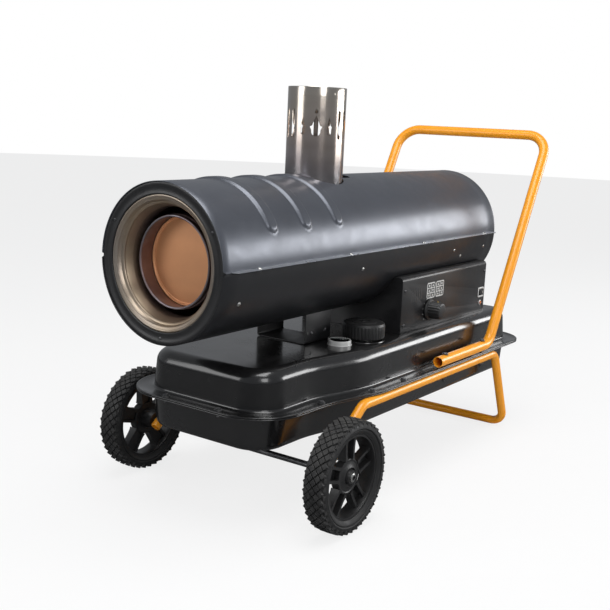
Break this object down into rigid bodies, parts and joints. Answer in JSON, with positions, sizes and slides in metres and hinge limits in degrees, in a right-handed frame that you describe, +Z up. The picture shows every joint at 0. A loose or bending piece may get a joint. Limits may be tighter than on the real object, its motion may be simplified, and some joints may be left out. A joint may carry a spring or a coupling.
{
  "type": "kerosene heater",
  "caption": "Indirect-fired forced-air kerosene heater on two wheels: round barrel with hot-air outlet, flue pipe, pressed fuel tank, tubular handle and side control panel.",
  "frame": {"origin": "centre of the whole heater in plan, on the floor it stands on", "axes": "+Z up; -Y is the way the hot air leaves; +X is the side with the controls"},
  "size_m": [0.564, 1.1919, 0.815],
  "materials": {
    "gunmetal_paint": "satin metallic grey paint",
    "black_paint": "semi-gloss black paint",
    "stainless_steel": "polished stainless sheet",
    "aluminised_steel": "dull aluminised sheet",
    "heat_tinted_steel": "heat-tinted bare steel",
    "zinc_plated_steel": "bright zinc plating",
    "cast_aluminium": "as cast",
    "orange_powder_coat": "gloss powder coat",
    "black_plastic": "fine moulded texture",
    "black_rubber": "matt",
    "hose_rubber": "matt",
    "brass": "machined",
    "white_ceramic": "glazed",
    "clear_plastic": "clear",
    "float_foam": "closed-cell foam",
    "pointer_red": "printed",
    "amber_lens": "translucent",
    "green_plastic": "moulded",
    "copper_winding": "varnished copper"
  },
  "bodies": {
    "heater": {"air_diffuser": "cast_aluminium", "air_liner": "aluminised_steel", "axle": "zinc_plated_steel", "axle_keeper_left": "zinc_plated_steel", "axle_keeper_right": "zinc_plated_steel", "burner_tube": "cast_aluminium", "combustion_chamber": "heat_tinted_steel", "control_board": "green_plastic", "control_box": "black_paint", "control_panel": "black_paint", "drain_plug": "zinc_plated_steel", "electrode_left": "white_ceramic", "electrode_right": "white_ceramic", "exchanger_drum": "aluminised_steel", "fan_motor": "cast_aluminium", "filler_neck": "zinc_plated_steel", "flue_collar": "aluminised_steel", "flue_pipe": "stainless_steel", "frame_tube": "orange_powder_coat", "front_disc": "heat_tinted_steel", "front_ring": "black_paint", "front_saddle": "black_paint", "fuel_filter": "clear_plastic", "fuel_line": "hose_rubber", "fuel_nozzle": "brass", "fuel_pickup": "brass", "fuel_pump": "cast_aluminium", "gauge_case": "black_plastic", "gauge_lens": "clear_plastic", "handle_bolt_left_front": "zinc_plated_steel", "handle_bolt_left_rear": "zinc_plated_steel", "handle_bolt_right_front": "zinc_plated_steel", "handle_bolt_right_rear": "zinc_plated_steel", "handle_tube": "orange_powder_coat", "ignition_transformer": "copper_winding", "lower_shell": "gunmetal_paint", "mains_lamp": "amber_lens", "motor_bracket": "zinc_plated_steel", "outlet_cone": "stainless_steel", "power_gland": "black_plastic", "rear_grille": "black_paint", "switch_housing": "black_plastic", "tank_lower": "black_paint", "tank_upper": "black_paint", "thermostat_body": "white_ceramic", "upper_shell": "gunmetal_paint"},
    "wheel_left": {"wheel_left": "black_plastic", "tyre_left": "black_rubber"},
    "wheel_right": {"wheel_right": "black_plastic", "tyre_right": "black_rubber"},
    "fan": {"fan": "black_plastic", "motor_shaft": "zinc_plated_steel"},
    "knob": {"thermostat_knob": "black_plastic"},
    "switch": {"power_switch": "green_plastic"},
    "cap_lifter": {"cap_seal": "hose_rubber"},
    "cap": {"fuel_cap": "black_plastic"},
    "float": {"float_arm": "brass", "gauge_float": "float_foam"},
    "pointer": {"gauge_pointer": "pointer_red"}
  },
  "joints": [
    {"name": "wheel_left_spin", "type": "hinge", "parent": "heater", "child": "wheel_left", "pos_m": [-0.258, -0.366, 0.1085], "axis": [1, 0, 0], "continuous": true},
    {"name": "wheel_right_spin", "type": "hinge", "parent": "heater", "child": "wheel_right", "pos_m": [0.258, -0.366, 0.1085], "axis": [1, 0, 0], "continuous": true},
    {"name": "fan_spin", "type": "hinge", "parent": "heater", "child": "fan", "pos_m": [0, 0.193, 0.493], "axis": [0, 1, 0], "continuous": true},
    {"name": "thermostat_turn", "type": "hinge", "parent": "heater", "child": "knob", "pos_m": [0.1515, 0.12, 0.34], "axis": [1, 0, 0], "range_deg": [0, 270]},
    {"name": "switch_rock", "type": "hinge", "parent": "heater", "child": "switch", "pos_m": [0.146, 0.387, 0.348], "axis": [0, 0, 1], "range_deg": [-8, 8]},
    {"name": "cap_lift", "type": "slide", "parent": "heater", "child": "cap_lifter", "axis": [0, 0, 1], "range_m": [0, 0.022]},
    {"name": "cap_turn", "type": "hinge", "parent": "cap_lifter", "child": "cap", "pos_m": [0.114, -0.096, 0.324], "axis": [0, 0, 1], "continuous": true},
    {"name": "float_swing", "type": "hinge", "parent": "heater", "child": "float", "pos_m": [0.0967, -0.176, 0.245], "axis": [-1, 0, 0], "range_deg": [-38, 22]},
    {"name": "pointer_turn", "type": "hinge", "parent": "heater", "child": "pointer", "pos_m": [0.107, -0.176, 0.3061], "axis": [0, 0, -1], "range_deg": [-80, 48]}
  ],
  "couplings": [
    {"joint": "pointer_turn", "follows": "float_swing", "ratio": 2}
  ]
}
